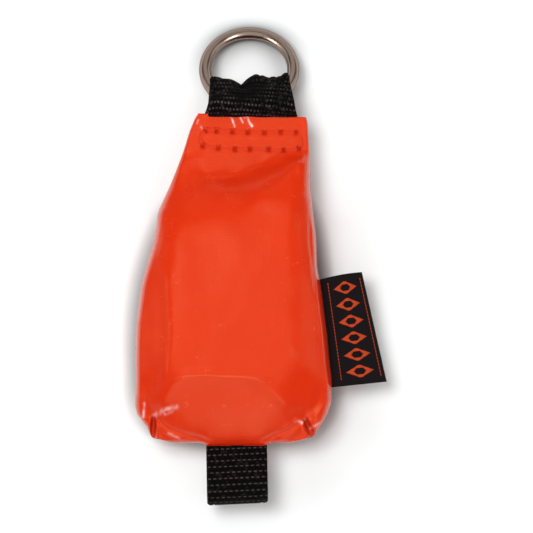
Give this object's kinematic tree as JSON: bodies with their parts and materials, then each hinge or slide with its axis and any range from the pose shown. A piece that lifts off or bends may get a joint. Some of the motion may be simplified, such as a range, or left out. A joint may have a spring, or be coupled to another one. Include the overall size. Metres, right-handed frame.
{
  "type": "throw weight bag",
  "caption": "Tapered shot-filled pouch with a welded steel ring in a webbing loop at its narrow end and an open webbing loop at its wide end, for carrying a throw line into a tree.",
  "frame": {"origin": "middle of the flat patch of the pouch's back, which the bag lies on", "axes": "+Y along the pouch towards the ring, +Z out of the front, +X to the right of somebody who looks down at the front, where the label is"},
  "size_m": [0.0822, 0.1565, 0.0326],
  "materials": {
    "pvc_orange": "orange coated fabric, soft gloss",
    "webbing_black": "black woven polyester webbing",
    "thread_orange": "bonded sewing thread",
    "label_motif": "woven orange yarn",
    "label_black": "damask-woven label",
    "ring_steel": "polished welded steel",
    "liner_grey": "plain woven liner",
    "shot_steel": "dull steel shot"
  },
  "bodies": {
    "pouch": {"front_panel": "pvc_orange", "back_panel": "pvc_orange", "ring_webbing_tail_front": "webbing_black", "ring_webbing_tail_back": "webbing_black", "bottom_webbing_tail_front": "webbing_black", "bottom_webbing_tail_back": "webbing_black", "needle_thread_front": "thread_orange", "bobbin_thread_back": "thread_orange", "left_seam_thread": "thread_orange", "right_seam_thread": "thread_orange", "bottom_seam_thread": "thread_orange", "liner_front": "liner_grey", "liner_back": "liner_grey", "steel_shot": "shot_steel", "label_tail": "label_black"},
    "ring_loop": {"ring_webbing_loop": "webbing_black"},
    "ring": {"steel_ring": "ring_steel"},
    "bottom_loop": {"bottom_webbing_loop": "webbing_black"},
    "label": {"folded_label": "label_black", "label_motif_thread": "label_motif"}
  },
  "joints": [
    {"name": "ring_loop_swing", "type": "hinge", "parent": "pouch", "child": "ring_loop", "pos_m": [0.0049, 0.07012, 0.01753], "axis": [1, 0, 0], "range_deg": [-58, 118]},
    {"name": "ring_spin", "type": "hinge", "parent": "ring_loop", "child": "ring", "pos_m": [0.0043, 0.08242, 0.00985], "axis": [0, 0.5299, 0.848], "continuous": true},
    {"name": "bottom_loop_flex", "type": "hinge", "parent": "pouch", "child": "bottom_loop", "pos_m": [0.0002, -0.0421, 0.0165], "axis": [-1, 0, 0], "range_deg": [-60, 70], "stiffness_Nm_per_rad": 0.01},
    {"name": "label_flex", "type": "hinge", "parent": "pouch", "child": "label", "pos_m": [0.02815, 0.0131, 0.0165], "axis": [0.1275, -0.9918, 0], "range_deg": [-70, 90], "stiffness_Nm_per_rad": 0.0004}
  ]
}
